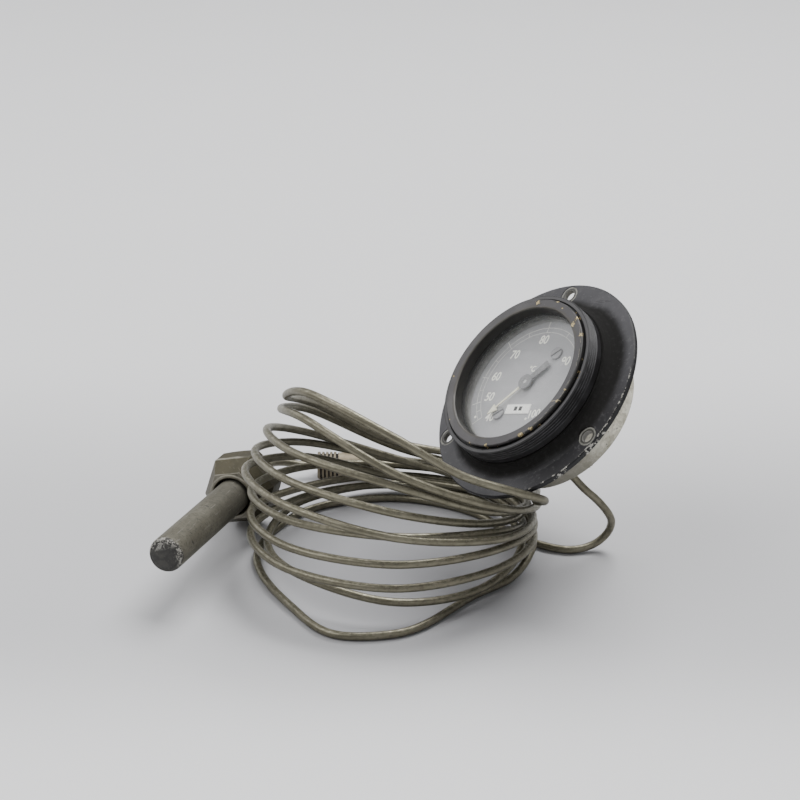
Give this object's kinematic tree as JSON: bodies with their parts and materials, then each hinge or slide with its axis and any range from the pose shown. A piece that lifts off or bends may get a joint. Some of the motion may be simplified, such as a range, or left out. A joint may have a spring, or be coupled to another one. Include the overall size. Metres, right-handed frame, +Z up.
{
  "type": "coolant temperature gauge",
  "caption": "Round flanged temperature gauge head with dial and pointer, a long coiled metal capillary and a sensing bulb with a hexagon union nut.",
  "frame": {"origin": "centre of the mounting flange's front face, where the dial's axis crosses it; the set lies on a surface 70.7 mm below", "axes": "+Z up from the surface the set lies on; the dial faces -Y and tilts up 44.3 degrees; +X to the dial's right seen from in front"},
  "size_m": [0.1453, 0.176, 0.1023],
  "materials": {
    "black_paint": "worn satin black paint, bare metal at edges and screw holes",
    "black_ring": "worn semi-gloss black paint, brass chips",
    "worn_ring": "black paint worn to purple grey, chipped",
    "glass": "hazed old glass",
    "black_rubber": "matte",
    "inner_black": "matte black",
    "case_metal": "bare, dulled, mottled beige silver",
    "screw_steel": "dull",
    "dull_brass": "dull, oxidised",
    "dial_grey": "matte, faded dark grey",
    "white_plate": "matte white",
    "dial_screw": "matte dark grey",
    "brass": "satin, lightly tarnished",
    "pointer_cream": "matte cream on dark grey",
    "steel": "satin",
    "bronze": "satin bronze",
    "spring_steel": "blued",
    "tube_metal": "dull grey olive, worn bright on top",
    "sleeve_tan": "dull tan, ribbed end",
    "bulb_metal": "matte grey, scratched",
    "bulb_end": "dark, worn at the rim",
    "nut_metal": "brown grey, worn edges"
  },
  "bodies": {
    "gauge": {"flange_housing": "black_paint", "bezel_collar": "black_ring", "bezel_front_ring": "worn_ring", "glass": "glass", "glass_gasket": "black_rubber", "dial_spacer_ring": "inner_black", "rear_case": "case_metal", "back_cover": "case_metal", "back_cover_screws": "screw_steel", "capillary_gland": "dull_brass", "dial_plate": "dial_grey", "dial_id_plate": "white_plate", "dial_screws": "dial_screw", "dial_posts": "brass", "movement_front_plate": "brass", "movement_rear_plate": "brass", "movement_pillars": "brass", "pillar_screws": "screw_steel", "socket_block": "brass", "socket_screws": "screw_steel", "bourdon_tube": "bronze", "bourdon_tip": "brass", "capillary": "tube_metal", "capillary_sleeve": "sleeve_tan", "bulb": "bulb_metal", "bulb_tip": "bulb_end", "bulb_collar": "dull_brass", "bulb_stem": "dull_brass", "slip_washer": "brass"},
    "pointer": {"pointer": "pointer_cream", "pointer_arbor": "steel", "pinion": "brass", "hairspring": "spring_steel"},
    "sector": {"sector_gear": "brass", "sector_arbor": "steel"},
    "link": {"drive_link": "brass", "link_pins": "steel"},
    "nut": {"union_nut": "nut_metal"}
  },
  "joints": [
    {"name": "sector_turn", "type": "hinge", "parent": "gauge", "child": "sector", "pos_m": [-0.00735, 0.0142, 0.00631], "axis": [0, 0.7157, -0.6984], "range_deg": [-33.75, 0], "stiffness_Nm_per_rad": 0.0003, "springref_deg": 17.19},
    {"name": "pointer_turn", "type": "hinge", "parent": "gauge", "child": "pointer", "pos_m": [0, -0.00336, 0.00328], "axis": [0, 0.7157, -0.6984], "range_deg": [0, 270]},
    {"name": "link_swing", "type": "hinge", "parent": "sector", "child": "link", "pos_m": [-0.00243, 0.01585, 0.00593], "axis": [0, 0.7157, -0.6984], "range_deg": [0, 33.75]},
    {"name": "nut_spin", "type": "hinge", "parent": "gauge", "child": "nut", "pos_m": [-0.0693, -0.09036, -0.05428], "axis": [0.7074, -0.6976, 0.1132], "continuous": true}
  ],
  "couplings": [
    {"joint": "pointer_turn", "follows": "sector_turn", "ratio": -8},
    {"joint": "link_swing", "follows": "sector_turn", "ratio": -1}
  ]
}
